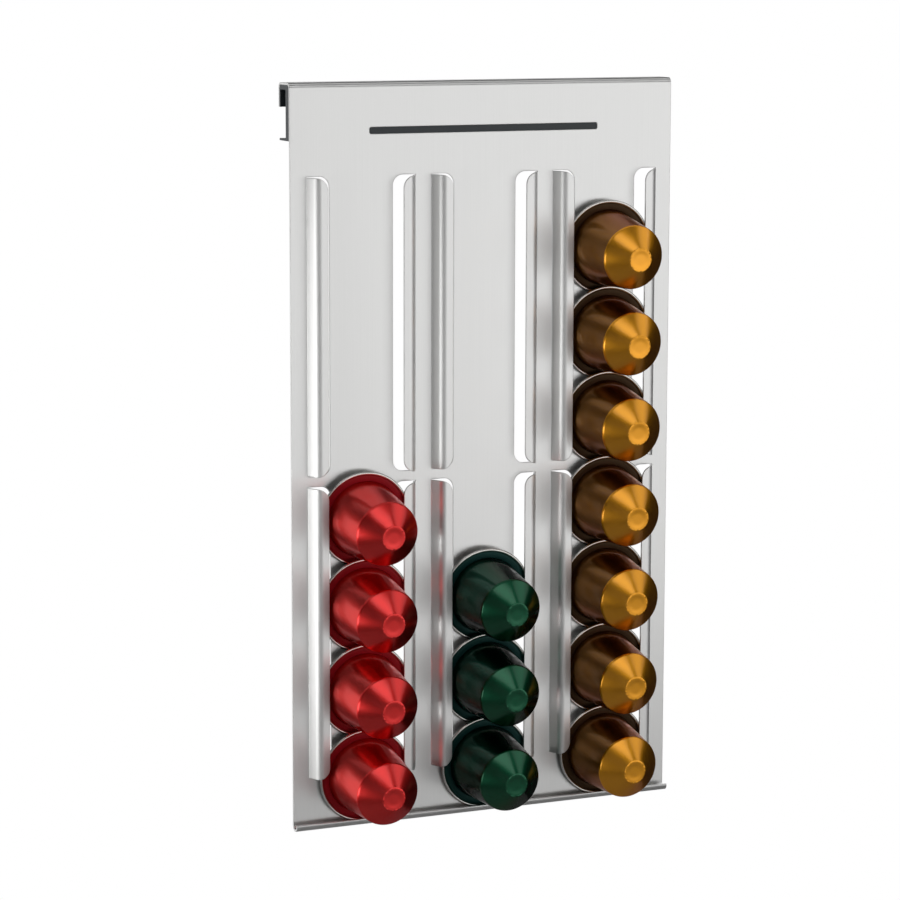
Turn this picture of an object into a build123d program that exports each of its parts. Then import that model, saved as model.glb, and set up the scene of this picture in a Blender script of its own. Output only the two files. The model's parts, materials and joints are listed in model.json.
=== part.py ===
from build123d import *
from math import asin, atan2, cos, degrees, radians, sin, sqrt, tan
import os

# Wall-rail coffee capsule dispenser: one folded steel plate that hooks over a rail,
# a plastic rail liner, and three columns of capsules held by their rims.
# Millimetres. +X right, +Z up, front towards -Y.
# The origin is the middle of the seat, where the liner rests on the top edge of the rail.

# Plate
plate_width = 158.0
plate_height = 283.0
sheet = 0.8
bend_inner = 1.2
end_land_extra = 0.2

# Hook, and the rail that it fits
rail_slot_depth = 5.4
rail_slot_height = 18.0
back_leg_drop = 9.0

# Plastic rail liner
liner_wall = 3.2
liner_top = 1.8
liner_back = 1.0
liner_back_proud = 0.1
liner_lip = 0.8
liner_corner = 1.8
liner_edge_round = 0.3

# Slot in the plate that shows the liner's rib; it rises from the liner's bottom edge
rib_slot_length = 94.6
rib_slot_height = 2.6
rib_slot_rise = 3.4
rib_slot_corner = 0.8
rib_clearance = 0.1
rib_recess = 0.1

# Guide lips, lanced from the plate in two rows, and their room beside a capsule
guide_bottom = 19.6
guide_length = 112.4
guide_bridge = 4.0
guide_rim_room = 3.15
guide_body_room = 0.7
guide_stand = 5.1
guide_slope = 66.0
guide_root_inner = 0.4
guide_shoulder_inner = 2.2
guide_corner = 4.5
guide_slot_overrun = 2.5
guide_slot_corner = 4.0
guide_slot_end_round = 0.8
guide_kerf = 0.25

# Gutter along the bottom
gutter_reach = 3.8
gutter_lip = 2.5

# Capsule
rim_diameter = 37.0
rim_bead = 1.2
foil = 0.1
foil_edge = 0.4
shell_wall = 0.2
body_radius = 14.6
shoulder_radius = 12.3
shoulder_height = 23.4
shoulder_round = 1.8
disc_radius = 4.9
disc_round = 0.6
dimple_edge = 1.3
dimple_depth = 0.35
capsule_height = 29.5
seal_inner_gap = 0.5
seal_outer_gap = 0.2
seal_height = 0.5
seal_round = 0.15
fill_clearance = 0.1

# Running clearances of the capsules
plate_clearance = 0.25
lip_clearance = 0.25
stack_clearance = 0.2
lift_clearance = 3.0

# Columns from left to right, and the capsules loaded in each
red_count = 4
green_count = 3
gold_count = 7
columns = [("red", red_count), ("green", green_count), ("gold", gold_count)]

# Heights and depths of the plate that follow
top_z = liner_top + sheet
bottom_z = top_z - plate_height
floor_z = bottom_z + sheet
front_y = -(rail_slot_depth / 2 + liner_wall + sheet)
plate_mid_y = front_y + sheet / 2
wall_back_y = -rail_slot_depth / 2
leg_front_y = rail_slot_depth / 2 + liner_back
lower_guide_z = bottom_z + guide_bottom
upper_guide_z = lower_guide_z + guide_length + guide_bridge
guide_top_z = upper_guide_z + guide_length
leg_end_z = top_z - back_leg_drop
liner_low_z = -rail_slot_height - liner_lip
rib_z = liner_low_z + rib_slot_rise

# Widths of the lips from the column's middle; the first bend runs on past the root
rim_radius = rim_diameter / 2
guide_edge = body_radius + guide_body_room
guide_root = rim_radius + guide_rim_room
guide_run = guide_stand / tan(radians(guide_slope))
guide_join = guide_root + (guide_root_inner + sheet) * tan(radians(guide_slope) / 2)
guide_slot_inner = guide_edge - guide_slot_overrun

# What the slots leave of the plate's width is shared out between and beside the columns
spare_width = plate_width - len(columns) * 2 * guide_join - 2 * end_land_extra
column_pitch = 2 * guide_join + spare_width / (len(columns) + 1)
column_middles = [(i - (len(columns) - 1) / 2) * column_pitch for i in range(len(columns))]

# Reach of a cut that has to pass right through the plate and the lips
cut_reach = guide_stand + sheet

# A capsule leans forward until its rim meets the backs of the lips
rim_thickness = foil + rim_bead
lip_contact_rise = sqrt(rim_radius**2 - guide_edge**2)
lean_room = guide_stand - sheet - plate_clearance - lip_clearance - rim_thickness
lean = asin(lean_room / (rim_radius + lip_contact_rise))

# A rim slips in behind the next rim down, until the body above rests on that rim
body_taper = (body_radius - shoulder_radius) / (shoulder_height - foil)
stack_reach = rim_radius + body_radius + body_taper * foil + stack_clearance
stack_pitch = stack_reach / (cos(lean) + body_taper * sin(lean))
first_y = front_y - plate_clearance - rim_radius * sin(lean)
first_z = floor_z + plate_clearance + rim_radius * cos(lean)

# The capsule's pieces: the bead's middle, the lid, the dimple and the slope of the nose
bead_radius = rim_bead / 2
bead_middle = rim_radius - bead_radius
foil_radius = rim_radius - foil_edge
dimple_radius = disc_radius - dimple_edge
seal_inner = body_radius + seal_inner_gap
seal_outer = rim_radius - rim_bead - seal_outer_gap
nose_slope = atan2(capsule_height - shoulder_height, shoulder_radius - disc_radius)


def folded_face(path, gauge, inner_radii):
    """Section of a sheet folded along its middle line, with an inner radius for each fold."""
    points = [Vector(*point) for point in path]
    runs = [(b - a).normalized() for a, b in zip(points, points[1:])]
    normals = [Vector(-run.Y, run.X) for run in runs]

    def side(offset):
        corners = [points[0] + normals[0] * offset]
        radii = []
        for i, point in enumerate(points[1:-1]):
            across = normals[i] + normals[i + 1]
            corners.append(point + across * (offset / (1 + normals[i].dot(normals[i + 1]))))
            turn = runs[i].X * runs[i + 1].Y - runs[i].Y * runs[i + 1].X
            radii.append(inner_radii[i] if turn * offset > 0 else inner_radii[i] + gauge)
        corners.append(points[-1] + normals[-1] * offset)
        return FilletPolyline(*corners, radius=radii)

    left, right = side(gauge / 2), side(-gauge / 2)
    return make_face(left + right + Line(left @ 0, right @ 0) + Line(left @ 1, right @ 1))


def upright_box(low_x, high_x, low_z, high_z, low_round, high_round):
    """Prism through the plate, with its own corner radius at each end in X."""
    corners = [(low_x, low_z), (high_x, low_z), (high_x, high_z), (low_x, high_z)]
    radii = [low_round, high_round, high_round, low_round]
    outline = make_face(FilletPolyline(*corners, radius=radii, close=True))
    return Pos(0, plate_mid_y, 0) * extrude(Plane.XZ * outline, amount=cut_reach, both=True)


def both_sides(piece):
    """A column's right-hand piece with its mirror image."""
    return [piece, mirror(piece, Plane.YZ)]


def guide_lip():
    """Right-hand lip: a step forward, then a flange round a soft shoulder to the column's middle."""
    path = [
        (guide_join + guide_kerf, plate_mid_y),
        (guide_root, plate_mid_y),
        (guide_root - guide_run, plate_mid_y - guide_stand),
        (guide_edge, plate_mid_y - guide_stand),
    ]
    section = folded_face(path, sheet, [guide_root_inner, guide_shoulder_inner])
    strip = extrude(section, amount=guide_length)
    low_z, high_z = guide_kerf, guide_length - guide_kerf
    return strip & upright_box(guide_edge, guide_join + guide_kerf, low_z, high_z, guide_corner, 0)


def guide_slot():
    """Opening that a right-hand lip leaves in the plate."""
    return upright_box(
        guide_slot_inner, guide_join, 0, guide_length, guide_slot_corner, guide_slot_end_round
    )


def make_plate():
    """One sheet: back leg, top, front with its slots and lips, and the gutter."""
    gutter_y = front_y - gutter_reach + sheet / 2
    path = [
        (leg_front_y + sheet / 2, leg_end_z),
        (leg_front_y + sheet / 2, top_z - sheet / 2),
        (plate_mid_y, top_z - sheet / 2),
        (plate_mid_y, bottom_z + sheet / 2),
        (gutter_y, bottom_z + sheet / 2),
        (gutter_y, bottom_z + gutter_lip),
    ]
    section = Plane.YZ * folded_face(path, sheet, [bend_inner] * (len(path) - 2))
    plate = extrude(section, amount=plate_width / 2, both=True)
    rib_outline = RectangleRounded(rib_slot_length, rib_slot_height, rib_slot_corner)
    rib_slot = Pos(0, 0, rib_z) * (Plane.XZ * rib_outline)
    plate -= Pos(0, plate_mid_y, 0) * extrude(rib_slot, amount=cut_reach, both=True)
    for middle_x in column_middles:
        for row_z in (lower_guide_z, upper_guide_z):
            spot = Pos(middle_x, 0, row_z)
            plate -= [spot * slot for slot in both_sides(guide_slot())]
            plate += [spot * lip for lip in both_sides(guide_lip())]
    return plate


def make_liner():
    """Channel that lines the hook, snaps under the rail and fills the plate's slot."""
    back_end_z = leg_end_z - liner_back_proud
    outline = [
        (leg_front_y, back_end_z),
        (leg_front_y, liner_top),
        (front_y + sheet, liner_top),
        (front_y + sheet, liner_low_z),
        (leg_front_y, liner_low_z),
        (leg_front_y, -rail_slot_height),
        (wall_back_y, -rail_slot_height),
        (wall_back_y, 0),
        (leg_front_y - liner_back, 0),
        (leg_front_y - liner_back, back_end_z),
    ]
    sharp, edge, corner = 0, liner_edge_round, liner_corner
    radii = [edge, corner, corner, edge, edge, edge, edge, sharp, sharp, edge]
    section = make_face(FilletPolyline(*outline, radius=radii, close=True))
    liner = extrude(Plane.YZ * section, amount=plate_width / 2, both=True)
    rib = RectangleRounded(
        rib_slot_length - 2 * rib_clearance,
        rib_slot_height - 2 * rib_clearance,
        rib_slot_corner - rib_clearance,
    )
    rib_depth = sheet - rib_recess
    rib_face = Pos(0, front_y + sheet, rib_z) * (Plane.XZ * rib)
    return liner + extrude(rib_face, amount=rib_depth)


def turned(points, radii):
    """Solid of revolution about Z from a closed outline of (radius, height) points."""
    outline = make_face(FilletPolyline(*points, radius=radii, close=True))
    return revolve(Plane.XZ * outline, Axis.Z)


def capsule_form(inset, low_z, top_drop):
    """Body, shoulder and nose of a capsule, drawn in by the inset all over."""
    shoulder_z = shoulder_height - inset * (1 - sin(nose_slope)) / cos(nose_slope)
    end_z = capsule_height - inset - top_drop
    points = [
        (0, low_z),
        (body_radius - inset, low_z),
        (shoulder_radius - inset, shoulder_z),
        (disc_radius - inset * tan(nose_slope / 2), end_z),
        (0, end_z),
    ]
    return turned(points, [0, 0, shoulder_round - inset, disc_round - inset, 0])


def make_shell():
    """Drawn aluminium cup with a flat flange and a rolled rim."""
    cup = capsule_form(0, foil, 0)
    dimple = Pos(0, 0, capsule_height) * Cylinder(dimple_radius, 2 * dimple_depth)
    bead = Pos(0, 0, foil + bead_radius) * Torus(bead_middle, bead_radius)
    flange = Pos(0, 0, foil) * Cylinder(
        bead_middle, shell_wall, align=(Align.CENTER, Align.CENTER, Align.MIN)
    )
    return (cup + flange + bead) - dimple - capsule_form(shell_wall, 0, dimple_depth)


def make_foil():
    """Lid, sealed across the back of the flange."""
    return Cylinder(foil_radius, foil, align=(Align.CENTER, Align.CENTER, Align.MIN))


def make_coffee():
    """Ground coffee that fills the cup behind the lid."""
    return capsule_form(shell_wall + fill_clearance, foil, dimple_depth)


def make_seal():
    """Flat sealing ring on the front of the flange."""
    low_z = foil + shell_wall
    high_z = low_z + seal_height
    ring = [(seal_inner, low_z), (seal_outer, low_z), (seal_outer, high_z), (seal_inner, high_z)]
    return turned(ring, [0, 0, seal_round, seal_round])


def capsule_places():
    """Name and location of every capsule, from the bottom of each column up."""
    turn = 90 + degrees(lean)
    for middle_x, (colour, count) in zip(column_middles, columns):
        for step in range(count):
            middle = (middle_x, first_y, first_z + step * stack_pitch)
            yield f"{colour}_capsule_{step + 1}", Location(middle, (turn, 0, 0))


def lift_travel(step):
    """Rise that takes a column's capsule clear above the lips, counted from the bottom."""
    rim_bottom = first_z + step * stack_pitch - rim_radius * cos(lean)
    return guide_top_z + lift_clearance - rim_bottom


os.makedirs("parts", exist_ok=True)
parts = {"plate": make_plate(), "rail_liner": make_liner()}
capsule_pieces = {
    "shell": make_shell(),
    "foil": make_foil(),
    "coffee": make_coffee(),
    "seal": make_seal(),
}
for capsule, location in capsule_places():
    for piece, solid in capsule_pieces.items():
        parts[f"{capsule}_{piece}"] = location * solid
for name, solid in parts.items():
    export_step(solid, f"parts/{name}.step")
tallest = max(count for _, count in columns)
print("lean", round(degrees(lean), 2), "degrees, stack pitch", round(stack_pitch, 2))
print("lift travel from the bottom up", [round(lift_travel(step), 1) for step in range(tallest)])
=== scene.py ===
import json
from math import cos, pi, radians, sin
import bmesh
import bpy
from mathutils import Matrix, Vector

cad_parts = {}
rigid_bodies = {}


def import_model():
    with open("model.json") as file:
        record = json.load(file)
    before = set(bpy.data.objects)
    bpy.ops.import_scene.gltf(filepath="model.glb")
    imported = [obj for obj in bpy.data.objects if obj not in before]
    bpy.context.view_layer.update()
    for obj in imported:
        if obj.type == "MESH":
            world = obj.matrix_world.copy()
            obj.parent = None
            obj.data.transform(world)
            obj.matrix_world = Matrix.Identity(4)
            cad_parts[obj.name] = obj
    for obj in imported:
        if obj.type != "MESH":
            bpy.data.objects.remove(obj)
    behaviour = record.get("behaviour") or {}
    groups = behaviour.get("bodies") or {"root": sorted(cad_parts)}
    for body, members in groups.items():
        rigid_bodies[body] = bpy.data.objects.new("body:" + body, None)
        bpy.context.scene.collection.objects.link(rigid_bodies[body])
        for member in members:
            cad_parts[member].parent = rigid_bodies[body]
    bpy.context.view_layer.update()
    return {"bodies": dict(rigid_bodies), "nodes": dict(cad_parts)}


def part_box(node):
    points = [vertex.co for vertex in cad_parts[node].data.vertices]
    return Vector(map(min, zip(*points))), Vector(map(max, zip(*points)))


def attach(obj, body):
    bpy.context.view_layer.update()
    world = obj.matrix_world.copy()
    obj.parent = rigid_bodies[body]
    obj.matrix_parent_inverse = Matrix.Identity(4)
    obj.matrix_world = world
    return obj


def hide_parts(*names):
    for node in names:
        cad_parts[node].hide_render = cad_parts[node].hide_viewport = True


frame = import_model()
MM = 0.001

# Sizes of a capsule and its lean, the same as the model's own (mm and degrees)
RIM_RADIUS = 18.5
RIM_BEAD = 1.2
FOIL = 0.1
FOIL_EDGE = 0.4
SHELL_WALL = 0.2
BODY_RADIUS = 14.6
SHOULDER_RADIUS = 12.3
SHOULDER_HEIGHT = 23.4
DISC_RADIUS = 4.9
CAPSULE_HEIGHT = 29.5
DIMPLE_DEPTH = 0.35
SEAL_TOP = 0.8
LEAN = 4.9626

# Finer shapes that the eye sees on a capsule (mm)
DISH_RADIUS = 2.3
DISH_DEPTH = 0.12
DISH_BEVEL = 0.55
RIDGE_INNER = 3.8
RIDGE_OUTER = 4.65
NOSE_BEVEL = 0.3
SHOULDER_BEVEL = 0.6
ROOT_BEVEL = 0.25
SEAL_INNER = 14.65
SEAL_OUTER = 17.25
SEAL_BEVEL = 0.3

# Steps round a capsule, round its rim's bead and over each rounded corner
TURN_STEPS = 96
BEAD_STEPS = 16
NOSE_STEPS = 4
SHOULDER_STEPS = 5
ROOT_STEPS = 3
SEAL_STEPS = 3

# Edges that turn more than this stay sharp
SHARP_CORNER = radians(32)

# Points nearer than this lie on each other (m)
TOUCH = 1e-6

# Rounding of the sheet's cut edges (mm)
EDGE_ROUND = 0.35

# The middle of the hanging part, which the cards and lamps face (m)
AIM = Vector((0, 0, -0.14))

# The floor, and the grey pool on it (m)
FLOOR_DROP = 1.2
FLOOR_RADIUS = 30.0
POOL_MIDDLE = (0, -0.6, -FLOOR_DROP)
POOL_INNER = 1.8
POOL_OUTER = 3.4
FLOOR_COLOUR = "#B0B0B0"

# Cards: name, colour, direction (azimuth and elevation in degrees), distance, width and height (m)
CARDS = [
    ("camera_side_card", "#C4C4C4", (-19, -8), 1.8, 1.68, 2.2),
    ("left_front_card", "#9C9C9C", (-52, -8), 1.8, 0.55, 2.2),
    ("left_upper_card", "#585858", (-76, 20), 1.9, 2.2, 1.2),
    ("left_lower_card", "#585858", (-82, -33), 1.9, 1.9, 0.9),
    ("right_card", "#404040", (94, -10), 1.3, 2.0, 2.4),
    ("back_card", "#707070", (180, 46), 2.2, 5.0, 2.4),
    ("upper_card", "#808080", (0, 52), 2.3, 7.0, 3.0),
]

# Soft boxes: name, direction, distance, width, height, and brightness where the white world is 1
SOFTBOXES = [
    ("key_softbox", (-8, 46), 1.6, 1.3, 0.5, 1.5),
    ("second_softbox", (62, 36), 1.2, 0.75, 0.68, 0.8),
    ("front_wall_light", (28, 3), 1.8, 1.6, 1.1, 0.46),
    ("left_softbox", (-84, -9), 1.5, 1.2, 0.5, 1.9),
]

# The camera: lens and sensor (mm), place (m), and its turn, tilt and roll (degrees)
LENS = 125.72
SENSOR_WIDTH = 36
CAMERA_PLACE = (-0.4932, -1.09217, 0.04835)
CAMERA_TURN = -23.81
CAMERA_TILT = 81.09
CAMERA_ROLL = 0.12


def linear(hex_colour):
    """An sRGB hex colour as linear RGBA."""
    parts = [int(hex_colour[i : i + 2], 16) / 255 for i in (1, 3, 5)]
    return [c / 12.92 if c <= 0.04045 else ((c + 0.055) / 1.055) ** 2.4 for c in parts] + [1.0]


def node(tree, kind, settings, inputs):
    """Adds a node, sets its properties, and fills or links its inputs by name or number.

    A Mix node's inputs are 0 for the share, 2 and 3 for two numbers, and 6 and 7 for two colours.
    """
    made = tree.nodes.new(kind)
    for name, value in settings.items():
        setattr(made, name, value)
    for name, value in inputs.items():
        if isinstance(value, bpy.types.NodeSocket):
            tree.links.new(value, made.inputs[name])
        else:
            made.inputs[name].default_value = value
    return made


def start_material(name, metallic):
    """A new material: its node tree, its shader and the piece's own coordinates."""
    made = bpy.data.materials.new(name)
    made.use_nodes = True
    tree = made.node_tree
    shader = tree.nodes["Principled BSDF"]
    shader.inputs["Metallic"].default_value = metallic
    place = node(tree, "ShaderNodeTexCoord", {}, {}).outputs["Object"]
    return made, tree, shader, place


def speckled(tree, shader, pattern, low, high, smooth, rough):
    """Runs the colour and the roughness between two values along a pattern."""
    ends = {0: pattern, 6: linear(low), 7: linear(high)}
    tone = node(tree, "ShaderNodeMix", {"data_type": "RGBA"}, ends)
    tree.links.new(tone.outputs[2], shader.inputs["Base Color"])
    reach = {"Value": pattern, "To Min": smooth, "To Max": rough}
    gloss = node(tree, "ShaderNodeMapRange", {}, reach)
    tree.links.new(gloss.outputs["Result"], shader.inputs["Roughness"])


# Materials


def brushed_stainless():
    """Cold-rolled stainless sheet, belt-ground up and down: streaks that smear reflections sideways."""
    made, tree, shader, place = start_material("brushed_stainless", 1.0)
    # Grain lines are about 0.05 mm wide on the sheet; they are drawn 0.4 mm wide, and 60 mm long
    stretch = node(tree, "ShaderNodeMapping", {}, {"Vector": place, "Scale": (1, 1, 0.007)}).outputs[0]
    lines = {"Vector": stretch, "Scale": 2400.0, "Detail": 3.0}
    grain = node(tree, "ShaderNodeTexNoise", {}, lines).outputs[0]
    # Passes of the belt leave broad, faint bands about 8 mm wide
    passes = {"Vector": stretch, "Scale": 120.0, "Detail": 1.0}
    bands = node(tree, "ShaderNodeTexNoise", {}, passes).outputs[0]
    shares = {0: 0.35, 2: grain, 3: bands}
    mixed = node(tree, "ShaderNodeMix", {"data_type": "FLOAT"}, shares).outputs[0]
    speckled(tree, shader, mixed, "#D6D6D5", "#E0E0DF", 0.32, 0.38)
    # Deburring leaves every cut edge rounded
    rounded = node(tree, "ShaderNodeBevel", {"samples": 6}, {"Radius": EDGE_ROUND * MM}).outputs[0]
    ridges = {"Strength": 0.07, "Distance": 0.00003, "Height": grain, "Normal": rounded}
    bump = node(tree, "ShaderNodeBump", {}, ridges)
    tree.links.new(bump.outputs["Normal"], shader.inputs["Normal"])
    # The sheet's grain runs up and over the bends, so the smear runs along X everywhere
    across = node(tree, "ShaderNodeCombineXYZ", {}, {"X": 1.0}).outputs[0]
    tree.links.new(across, shader.inputs["Tangent"])
    shader.inputs["Anisotropic"].default_value = 0.85
    return made


def lacquered_aluminium(colour, deep, pale, painted_wall_tone):
    """Deep-drawn aluminium under a clear tinted lacquer: coloured satin metal under a thin gloss."""
    made, tree, shader, place = start_material(f"{colour}_lacquered_aluminium", 1.0)
    # Drawing leaves a soft mottle of about 4 mm
    patches = {"Vector": place, "Scale": 240.0, "Detail": 3.0}
    mottle = node(tree, "ShaderNodeTexNoise", {}, patches).outputs[0]
    speckled(tree, shader, mottle, deep, pale, 0.27, 0.33)
    # The side wall takes a colour of its own, painted shade standing in for the darker reflections
    # along the drawn wall, strongest on the gold; the mesh marks its faces
    nose_tone = shader.inputs["Base Color"].links[0].from_socket
    side = node(tree, "ShaderNodeAttribute", {"attribute_name": "side_wall"}, {}).outputs["Fac"]
    tints = {0: side, 6: nose_tone, 7: linear(painted_wall_tone)}
    tone = node(tree, "ShaderNodeMix", {"data_type": "RGBA"}, tints)
    tree.links.new(tone.outputs[2], shader.inputs["Base Color"])
    # The tint stays where the eye looks along the surface, instead of fading to white
    shader.inputs["Specular Tint"].default_value = linear(pale)
    shader.inputs["Coat Weight"].default_value = 0.6
    shader.inputs["Coat Roughness"].default_value = 0.16
    return made


def bare_aluminium(name, low, high, smooth, rough, size):
    """Uncoated aluminium: pale and satin, with a mottle of this size in mm."""
    made, tree, shader, place = start_material(name, 1.0)
    patches = {"Vector": place, "Scale": 1000 / size, "Detail": 3.0}
    mottle = node(tree, "ShaderNodeTexNoise", {}, patches).outputs[0]
    speckled(tree, shader, mottle, low, high, smooth, rough)
    return made


def gritty(name, low, high, smooth, rough, size, depth, gleam="#FFFFFF"):
    """Moulded plastic, sealing compound or coffee, with a grit of this size and depth in mm.

    The gleam is the colour of its highlights.
    """
    made, tree, shader, place = start_material(name, 0.0)
    grains = {"Vector": place, "Scale": 1000 / size, "Detail": 2.0}
    grit = node(tree, "ShaderNodeTexNoise", {}, grains).outputs[0]
    speckled(tree, shader, grit, low, high, smooth, rough)
    shader.inputs["Specular Tint"].default_value = linear(gleam)
    relief = {"Strength": 0.4, "Distance": depth * MM, "Height": grit}
    bump = node(tree, "ShaderNodeBump", {}, relief)
    tree.links.new(bump.outputs["Normal"], shader.inputs["Normal"])
    return made


steel = brushed_stainless()
# Spark-eroded mould texture, a fine satin grit
liner_plastic = gritty("dark_grey_polypropylene", "#262C30", "#32393D", 0.42, 0.55, 1.1, 0.03)
# Loose grounds of about 0.7 mm
coffee = gritty("ground_coffee", "#1E120B", "#3A2417", 0.85, 0.95, 0.7, 0.2)
# The rolled rim is the brightest line round each capsule, and the lid behind it is duller
rim_metal = bare_aluminium("bare_rolled_aluminium", "#C4C2BE", "#DCDAD6", 0.2, 0.3, 1.6)
lid_foil = bare_aluminium("lidding_foil", "#BDBCBA", "#D4D3D1", 0.3, 0.42, 3.0)
# Nose cones in the deep and pale tone, and the side wall in the last: painted shade for its darker
# reflections, strongest on the gold
LACQUERS = {
    "red": lacquered_aluminium("red", "#DC2A28", "#E4302E", "#E03C38"),
    "green": lacquered_aluminium("green", "#034C30", "#055436", "#0A4A3A"),
    "gold": lacquered_aluminium("gold", "#DE9418", "#E69E1E", "#8E5E22"),
}
# A soft sealing compound, laid on as a thin satin band that takes the lacquer's colour in its gleam
SEALS = {
    "red": gritty("red_sealing_compound", "#88101A", "#941620", 0.3, 0.38, 2.0, 0.02, "#E06060"),
    "green": gritty("green_sealing_compound", "#0A2826", "#10302E", 0.3, 0.38, 2.0, 0.02, "#70A098"),
    "gold": gritty("gold_sealing_compound", "#2C1E12", "#38281A", 0.3, 0.38, 2.0, 0.02, "#B08C68"),
}


# Capsule pieces, each turned about its own axis and then set in its place


def capsule_place(cap):
    """Where a capsule's own frame lies: its lid's outer face, with the nose along local Z."""
    low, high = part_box(f"{cap}_foil")
    turn = Matrix.Rotation(radians(90 + LEAN), 4, "X")
    axis = turn.to_3x3() @ Vector((0, 0, 1))
    return Matrix.Translation((low + high) / 2 - axis * FOIL * MM / 2) @ turn


def turned(points, closed):
    """Spins an outline of (radius, height) points in mm about Z."""
    bm = bmesh.new()
    verts = [bm.verts.new((r * MM, 0, z * MM)) for r, z in points]
    for a, b in zip(verts, verts[1:] + verts[:1] * closed):
        bm.edges.new((a, b))
    bmesh.ops.spin(
        bm, geom=bm.verts[:] + bm.edges[:], axis=(0, 0, 1), angle=2 * pi, steps=TURN_STEPS,
        use_merge=True,
    )
    bmesh.ops.remove_doubles(bm, verts=bm.verts[:], dist=TOUCH)
    return bm


def round_ring(bm, radius, height, width, steps):
    """Rounds the ring-shaped corner at this radius and height (mm)."""

    def on_ring(v):
        return abs(v.co.xy.length - radius * MM) < TOUCH and abs(v.co.z - height * MM) < TOUCH

    ring = [e for e in bm.edges if on_ring(e.verts[0]) and on_ring(e.verts[1])]
    bmesh.ops.bevel(
        bm, geom=ring, offset=width * MM, offset_type="OFFSET", affect="EDGES", segments=steps,
        profile=0.5, material=-1, clamp_overlap=True,
    )


def add_piece(bm, name, cap, place, finish, node_name):
    """Makes a piece of the capsule's body, in its place, smooth with sharp corners kept."""
    bmesh.ops.recalc_face_normals(bm, faces=bm.faces[:])
    bm.transform(place)
    for face in bm.faces:
        face.smooth = True
    for edge in bm.edges:
        edge.smooth = edge.calc_face_angle(0) < SHARP_CORNER
    mesh = bpy.data.meshes.new(name)
    bm.to_mesh(mesh)
    bm.free()
    mesh.materials.append(finish)
    piece = bpy.data.objects.new(name, mesh)
    bpy.context.scene.collection.objects.link(piece)
    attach(piece, cap)
    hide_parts(node_name)


def cup():
    """The drawn cup: flange, side wall, shoulder, nose cone and dished end, with its wall."""
    low = FOIL + SHELL_WALL
    dish = CAPSULE_HEIGHT - DISH_DEPTH
    inner_end = CAPSULE_HEIGHT - DIMPLE_DEPTH - SHELL_WALL
    bead_middle = RIM_RADIUS - RIM_BEAD / 2
    outline = [
        (0, dish),
        (DISH_RADIUS, dish),
        (RIDGE_INNER, CAPSULE_HEIGHT),
        (RIDGE_OUTER, CAPSULE_HEIGHT),
        (SHOULDER_RADIUS, SHOULDER_HEIGHT),
        (BODY_RADIUS, low),
        (bead_middle, low),
        (bead_middle, FOIL),
        (BODY_RADIUS - SHELL_WALL, FOIL),
        (SHOULDER_RADIUS - SHELL_WALL, SHOULDER_HEIGHT - SHELL_WALL / 2),
        (DISC_RADIUS - SHELL_WALL, inner_end),
        (0, inner_end),
    ]
    bm = turned(outline, False)
    round_ring(bm, DISH_RADIUS, dish, DISH_BEVEL, NOSE_STEPS)
    round_ring(bm, RIDGE_INNER, CAPSULE_HEIGHT, DISH_BEVEL, NOSE_STEPS)
    round_ring(bm, RIDGE_OUTER, CAPSULE_HEIGHT, NOSE_BEVEL, NOSE_STEPS)
    round_ring(bm, SHOULDER_RADIUS, SHOULDER_HEIGHT, SHOULDER_BEVEL, SHOULDER_STEPS)
    round_ring(bm, BODY_RADIUS, low, ROOT_BEVEL, ROOT_STEPS)
    # The side wall's faces, all those below the shoulder, are marked for their painted shade
    side = bm.faces.layers.float.new("side_wall")
    for face in bm.faces:
        face[side] = face.calc_center_median().z < (SHOULDER_HEIGHT - SHOULDER_BEVEL) * MM
    return bm


def rolled_rim():
    """The rim, rolled round on itself."""
    radius = RIM_BEAD / 2
    angles = [i * 2 * pi / BEAD_STEPS for i in range(BEAD_STEPS)]
    middle = RIM_RADIUS - radius
    circle = [(middle + radius * cos(a), FOIL + radius + radius * sin(a)) for a in angles]
    return turned(circle, True)


def seal_ring():
    """The sealing ring, with its rounded top."""
    low = FOIL + SHELL_WALL
    section = [(SEAL_INNER, low), (SEAL_OUTER, low), (SEAL_OUTER, SEAL_TOP), (SEAL_INNER, SEAL_TOP)]
    bm = turned(section, True)
    round_ring(bm, SEAL_INNER, SEAL_TOP, SEAL_BEVEL, SEAL_STEPS)
    round_ring(bm, SEAL_OUTER, SEAL_TOP, SEAL_BEVEL, SEAL_STEPS)
    return bm


def lid():
    """The foil lid."""
    radius = RIM_RADIUS - FOIL_EDGE
    return turned([(0, 0), (radius, 0), (radius, FOIL), (0, FOIL)], False)


for cap in [name for name in frame["bodies"] if "_capsule_" in name]:
    colour = cap.split("_")[0]
    place = capsule_place(cap)
    add_piece(cup(), f"{cap}_cup", cap, place, LACQUERS[colour], f"{cap}_shell")
    add_piece(rolled_rim(), f"{cap}_rim", cap, place, rim_metal, f"{cap}_shell")
    add_piece(seal_ring(), f"{cap}_sealing_ring", cap, place, SEALS[colour], f"{cap}_seal")
    add_piece(lid(), f"{cap}_lid", cap, place, lid_foil, f"{cap}_foil")
    frame["nodes"][f"{cap}_coffee"].data.materials[0] = coffee

frame["nodes"]["plate"].data.materials[0] = steel
frame["nodes"]["rail_liner"].data.materials[0] = liner_plastic


# Floor, light and camera


def toward(azimuth, elevation):
    """Direction seen from the part: azimuth 0 is straight out of its front, and + is to its right."""
    a, e = radians(azimuth), radians(elevation)
    return Vector((sin(a) * cos(e), -cos(a) * cos(e), sin(e)))


def stage_piece(bm, name, colour):
    """Makes a matt piece of the studio, which isn't part of the object."""
    mesh = bpy.data.meshes.new(name)
    bm.to_mesh(mesh)
    bm.free()
    piece = bpy.data.objects.new(name, mesh)
    bpy.context.scene.collection.objects.link(piece)
    made, tree, shader, place = start_material(name, 0.0)
    shader.inputs["Base Color"].default_value = linear(colour)
    shader.inputs["Roughness"].default_value = 1.0
    shader.inputs["Specular IOR Level"].default_value = 0.0
    mesh.materials.append(made)
    return piece, tree, shader, place


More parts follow.
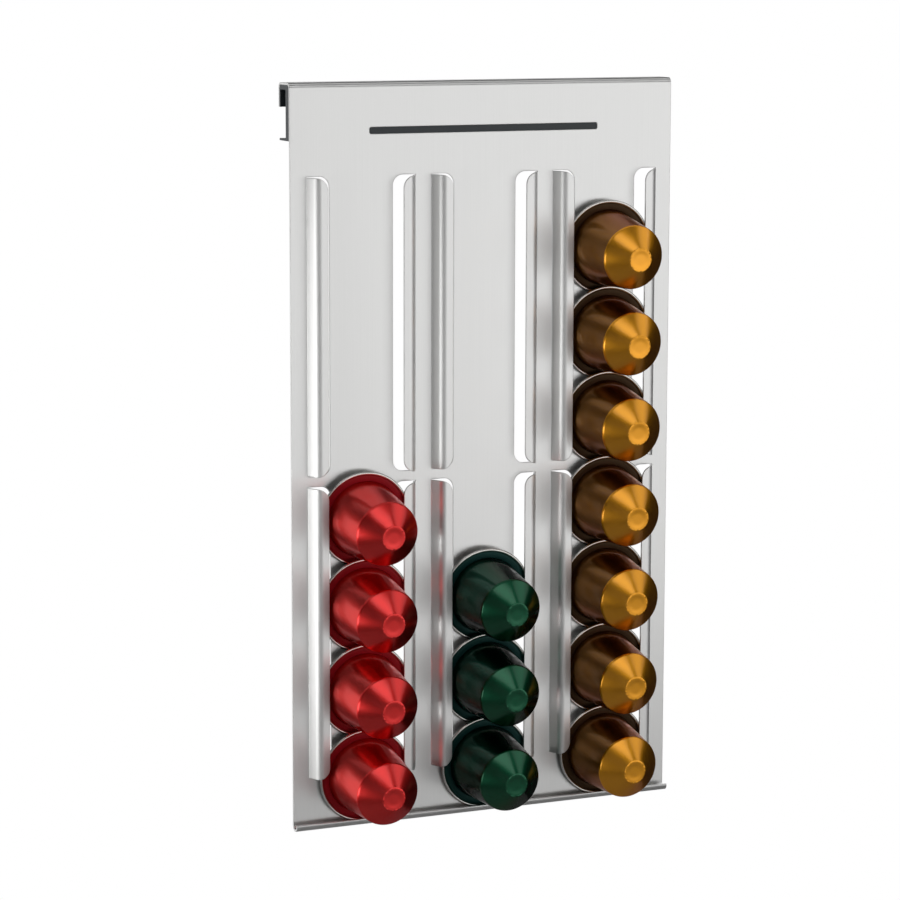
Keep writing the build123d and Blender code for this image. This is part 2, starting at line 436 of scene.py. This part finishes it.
def studio_floor():
    """A floor well below the hanging part: grey under it, and as white as the backdrop further out."""
    bm = bmesh.new()
    bmesh.ops.create_circle(bm, cap_ends=True, segments=128, radius=FLOOR_RADIUS)
    bm.transform(Matrix.Translation((0, 0, -FLOOR_DROP)))
    tree, shader, place = stage_piece(bm, "floor", FLOOR_COLOUR)[1:]
    # Distance from the middle of the grey pool, which lies a little in front of the part
    away = node(tree, "ShaderNodeVectorMath", {"operation": "DISTANCE"}, {0: place, 1: POOL_MIDDLE})
    edge = {"Value": away.outputs["Value"], "From Min": POOL_INNER, "From Max": POOL_OUTER}
    white = node(tree, "ShaderNodeMapRange", {"interpolation_type": "SMOOTHSTEP"}, edge).outputs[0]
    shader.inputs["Emission Color"].default_value = (1, 1, 1, 1)
    tree.links.new(white, shader.inputs["Emission Strength"])
    # Where the floor shines white of itself, it takes no light
    ends = {0: white, 6: linear(FLOOR_COLOUR), 7: (0, 0, 0, 1)}
    matt = node(tree, "ShaderNodeMix", {"data_type": "RGBA"}, ends)
    tree.links.new(matt.outputs[2], shader.inputs["Base Color"])


def mirrored_card(name, colour, direction, distance, width, height):
    """A matt card that the part's metal mirrors, and that keeps out of the camera's sight."""
    bm = bmesh.new()
    bmesh.ops.create_grid(bm, x_segments=1, y_segments=1, size=0.5)
    away = toward(*direction)
    turn = away.to_track_quat("Z", "Y").to_matrix().to_4x4()
    spread = Matrix.Diagonal((width, height, 1, 1))
    bm.transform(Matrix.Translation(AIM + away * distance) @ turn @ spread)
    card = stage_piece(bm, name, colour)[0]
    card.visible_camera = False


def studio_world():
    """Plain white all round, to the camera and to the metal alike."""
    world = bpy.data.worlds.new("studio")
    world.use_nodes = True
    bpy.context.scene.world = world
    backdrop = world.node_tree.nodes["Background"]
    backdrop.inputs["Color"].default_value = (1, 1, 1, 1)
    backdrop.inputs["Strength"].default_value = 1.0


def softbox(name, direction, distance, width, height, radiance):
    """A soft panel light in this direction from the part, facing it."""
    light = bpy.data.lights.new(name, "AREA")
    light.shape = "RECTANGLE"
    light.size = width
    light.size_y = height
    light.energy = radiance * pi * width * height
    lamp = bpy.data.objects.new(name, light)
    away = toward(*direction)
    lamp.location = AIM + away * distance
    lamp.rotation_euler = away.to_track_quat("Z", "Y").to_euler()
    bpy.context.scene.collection.objects.link(lamp)


def photo_camera():
    """Camera at the photograph's viewing angle."""
    camera = bpy.data.objects.new("camera", bpy.data.cameras.new("camera"))
    bpy.context.scene.collection.objects.link(camera)
    camera.data.sensor_width = SENSOR_WIDTH
    camera.data.lens = LENS
    turn = Matrix.Rotation(radians(CAMERA_TURN), 4, "Z")
    tilt = Matrix.Rotation(radians(CAMERA_TILT), 4, "X")
    roll = Matrix.Rotation(radians(CAMERA_ROLL), 4, "Z")
    camera.matrix_world = Matrix.Translation(CAMERA_PLACE) @ turn @ tilt @ roll
    bpy.context.scene.camera = camera
    bpy.context.scene.view_settings.view_transform = "Standard"


studio_floor()
studio_world()
for card in CARDS:
    mirrored_card(*card)
for box in SOFTBOXES:
    softbox(*box)
photo_camera()
